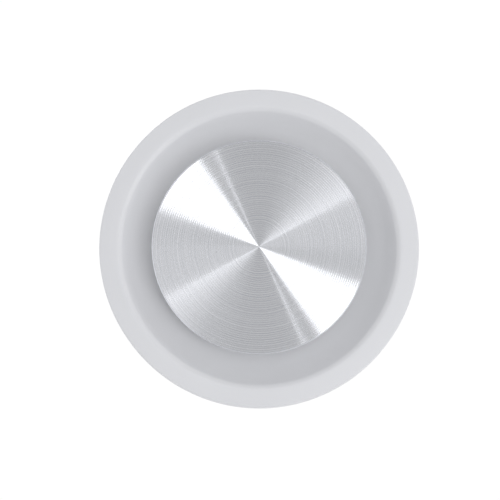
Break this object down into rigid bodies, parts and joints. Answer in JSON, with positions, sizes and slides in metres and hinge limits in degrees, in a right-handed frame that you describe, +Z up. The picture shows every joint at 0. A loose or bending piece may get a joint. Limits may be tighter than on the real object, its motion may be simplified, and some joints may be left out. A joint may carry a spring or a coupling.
{
  "type": "ceiling air diffuser",
  "caption": "Round ceiling air diffuser: white dished flange, turned aluminium disc on a threaded spindle, neck with seal and spring clips.",
  "frame": {"origin": "on the valve's axis, in the plane of the ceiling that the back edge of the flange rests on", "axes": "+Z up into the duct along the valve's axis; the disc faces -Z into the room; +Y towards the first arm of the spider"},
  "size_m": [0.15, 0.15, 0.0679],
  "materials": {
    "white_abs": "satin",
    "carrier_abs": "matt moulded",
    "turned_aluminium": "fine concentric turning",
    "black_rubber": "matt",
    "grey_foam": "closed-cell foam",
    "pad_foam": "double-sided foam pad",
    "zinc_steel": "zinc plated",
    "spring_steel": "bright spring steel",
    "brass_bush": "turned"
  },
  "bodies": {
    "housing": {"valve_body": "white_abs", "ceiling_gasket": "grey_foam", "neck_seal": "black_rubber", "spider": "carrier_abs", "spider_screw_1": "zinc_steel", "spider_screw_2": "zinc_steel", "spider_screw_3": "zinc_steel", "spindle_bush": "brass_bush", "lock_washer": "spring_steel"},
    "spring_seat": {"spring_seat": "zinc_steel", "compression_spring": "spring_steel"},
    "disc": {"spindle_bolt": "zinc_steel", "clamp_washer": "zinc_steel", "clamp_nut": "zinc_steel", "end_clip": "spring_steel", "disc_carrier": "carrier_abs", "seat_seal": "black_rubber", "adhesive_pad": "pad_foam", "face_disc": "turned_aluminium"},
    "lock_nut": {"lock_nut": "zinc_steel"},
    "clip_1": {"spring_clip_1": "spring_steel"},
    "clip_2": {"spring_clip_2": "spring_steel"},
    "clip_3": {"spring_clip_3": "spring_steel"}
  },
  "joints": [
    {"name": "disc_turn", "type": "hinge", "parent": "spring_seat", "child": "disc", "pos_m": [0, 0, 0], "axis": [0, 0, 1], "range_deg": [-3600, 1260]},
    {"name": "disc_travel", "type": "slide", "parent": "housing", "child": "spring_seat", "axis": [0, 0, 1], "range_m": [-0.0125, 0.00438], "deforming": ["compression_spring"]},
    {"name": "lock_nut_turn", "type": "hinge", "parent": "housing", "child": "lock_nut", "pos_m": [0, 0, 0], "axis": [0, 0, 1], "range_deg": [0, 180]},
    {"name": "clip_1_flex", "type": "hinge", "parent": "housing", "child": "clip_1", "pos_m": [0.04101, 0.02368, 0.049], "axis": [-0.5, 0.866, 0], "range_deg": [0, 8], "stiffness_Nm_per_rad": 0.5},
    {"name": "clip_2_flex", "type": "hinge", "parent": "housing", "child": "clip_2", "pos_m": [-0.04101, 0.02368, 0.049], "axis": [-0.5, -0.866, 0], "range_deg": [0, 8], "stiffness_Nm_per_rad": 0.5},
    {"name": "clip_3_flex", "type": "hinge", "parent": "housing", "child": "clip_3", "pos_m": [0, -0.04735, 0.049], "axis": [1, 0, 0], "range_deg": [0, 8], "stiffness_Nm_per_rad": 0.5}
  ],
  "couplings": [
    {"joint": "disc_travel", "follows": "disc_turn", "m_per_rad": 0.00019894}
  ]
}
